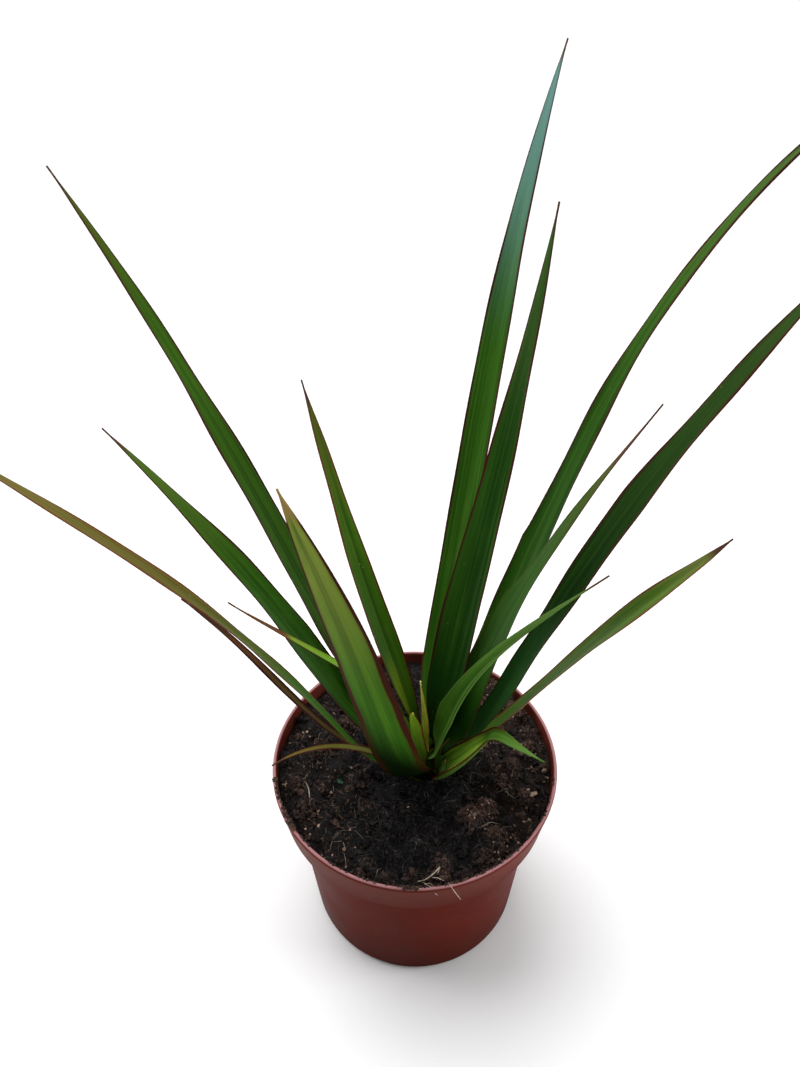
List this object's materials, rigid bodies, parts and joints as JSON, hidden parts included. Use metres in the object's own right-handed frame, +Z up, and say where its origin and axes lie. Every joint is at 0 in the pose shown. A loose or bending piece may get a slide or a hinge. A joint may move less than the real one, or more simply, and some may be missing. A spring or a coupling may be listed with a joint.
{
  "type": "potted dragon tree",
  "caption": "Young potted dragon tree: a rosette of narrow, pointed green leaves with maroon edges, rising from dark peat in a round brown plastic nursery pot.",
  "frame": {"origin": "centre of the pot's underside, on the surface that it stands on", "axes": "+Z up, the front of the plant towards -Y, +X to its right seen from the front"},
  "size_m": [0.2993, 0.1749, 0.3461],
  "materials": {
    "pot": "satin brown injection-moulded plastic",
    "soil": null,
    "stem": "dull fibrous bark",
    "leaf_green": "smooth leathery leaf, dark green with maroon edges",
    "leaf_light": "smooth leathery leaf, yellowish green with maroon edges",
    "leaf_olive": "dull ageing leaf, olive brown"
  },
  "bodies": {
    "root": {"pot": "pot", "soil": "soil", "stem": "stem", "leaf_front_broad": "leaf_light", "leaf_left_arching": "leaf_olive", "leaf_left_thin_low": "leaf_olive", "leaf_front_right_bent": "leaf_light", "leaf_left_drooping": "leaf_olive", "leaf_right_spreading": "leaf_light", "leaf_back_left_broad": "leaf_green", "leaf_front_cut": "leaf_light", "leaf_right_dark": "leaf_green", "leaf_back_left_tall": "leaf_green", "leaf_left_short": "leaf_light", "leaf_right_thin": "leaf_green", "leaf_right_creased": "leaf_light", "leaf_back_tallest": "leaf_green", "leaf_right_tall": "leaf_green", "leaf_back_dark": "leaf_green", "leaf_back_left_slim": "leaf_green", "leaf_inner_spear": "leaf_light"}
  },
  "joints": []
}
